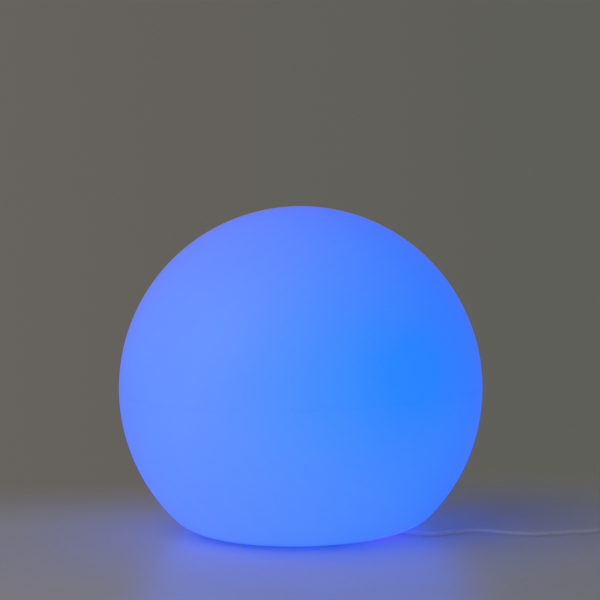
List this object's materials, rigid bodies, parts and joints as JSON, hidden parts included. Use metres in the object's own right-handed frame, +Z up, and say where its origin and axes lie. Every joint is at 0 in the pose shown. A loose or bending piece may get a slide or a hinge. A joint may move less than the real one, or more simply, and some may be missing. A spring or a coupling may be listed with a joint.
{
  "type": "garden globe light",
  "caption": "Glowing white plastic globe light that stands on a small flat base, with a screw-in lamp on a twist-out lamp unit and a clear round lead with an in-line switch and plug.",
  "frame": {"origin": "on the ground, under the middle of the globe's box", "axes": "+Z up; -Y faces the viewer; the lead leaves towards +X"},
  "size_m": [0.8105, 0.5006, 0.4455],
  "materials": {
    "globe_pe": "translucent white moulded polyethylene, fine satin skin",
    "rubber_black": "matt moulded rubber",
    "foam_grey": "closed-cell foam",
    "unit_plastic": "light grey moulded plastic, fine grain",
    "ring_plastic": "mid grey moulded plastic",
    "zinc_steel": "zinc-plated steel",
    "holder_black": "black phenolic, low gloss",
    "ceramic_white": "glazed steatite",
    "brass": "bright stamped brass",
    "wire_brown": "wire insulation",
    "wire_blue": "wire insulation",
    "silicone": "translucent silicone",
    "cap_nickel": "nickel-plated brass",
    "insulator_black": "black glass insulator",
    "lamp_body": "white gloss plastic over aluminium",
    "board_white": "white solder mask",
    "driver_green": "circuit board and components",
    "led_phosphor": "blue light-emitting chips",
    "envelope_opal": "opal diffuser, lit blue",
    "cord_clear": "clear soft cord sheath over two cores",
    "fitting_white": "white moulded plastic",
    "rocker_white": "white moulded plastic",
    "tie_grey": "soft strap"
  },
  "bodies": {
    "base": {"globe_shell": "globe_pe", "rubber_feet": "rubber_black", "frame_gasket": "foam_grey", "bayonet_frame": "unit_plastic", "frame_screws": "zinc_steel", "carrier_plate": "unit_plastic", "carrier_gasket": "foam_grey", "cord_cover": "unit_plastic", "cover_screws": "zinc_steel", "cord_clamp": "unit_plastic", "clamp_screws": "zinc_steel", "strain_relief": "rubber_black", "stem_tube": "zinc_steel", "stem_nuts": "zinc_steel", "holder_cap": "holder_black", "holder_core": "ceramic_white", "holder_skirt": "holder_black", "screw_shell": "brass", "centre_contact": "brass", "terminal_screws": "brass", "live_wire": "wire_brown", "neutral_wire": "wire_blue", "cord_inner": "cord_clear", "cord_lead": "cord_clear", "cord_link": "cord_clear", "cord_coil": "cord_clear", "cord_tail": "cord_clear", "switch_base": "fitting_white", "switch_cover": "fitting_white", "switch_contacts": "brass", "switch_screws": "zinc_steel", "coil_tie": "tie_grey", "plug_body": "fitting_white", "plug_pins": "cap_nickel"},
    "lock_ring": {"locking_ring": "ring_plastic"},
    "bulb_seal": {"bulb_seal_ring": "silicone"},
    "bulb": {"bulb_cap": "cap_nickel", "bulb_insulator": "insulator_black", "bulb_tip": "brass", "bulb_housing": "lamp_body", "bulb_driver": "driver_green", "bulb_board": "board_white", "bulb_leds": "led_phosphor", "bulb_envelope": "envelope_opal"},
    "rocker": {"switch_rocker": "rocker_white"}
  },
  "joints": [
    {"name": "locking_ring_turn", "type": "hinge", "parent": "base", "child": "lock_ring", "pos_m": [0, 0, 0.0255], "axis": [0, 0, -1], "range_deg": [0, 60]},
    {"name": "bulb_rise", "type": "slide", "parent": "base", "child": "bulb_seal", "axis": [0, 0, 1], "range_m": [0, 0.01815]},
    {"name": "bulb_turn", "type": "hinge", "parent": "bulb_seal", "child": "bulb", "pos_m": [0, 0, 0.1], "axis": [0, 0, 1], "range_deg": [0, 1800]},
    {"name": "rocker_tilt", "type": "hinge", "parent": "base", "child": "rocker", "pos_m": [0.465, 0.018, 0.0132], "axis": [1, 0, 0], "range_deg": [0, 22]}
  ],
  "couplings": [
    {"joint": "bulb_rise", "follows": "bulb_turn", "m_per_rad": 0.00057757}
  ]
}
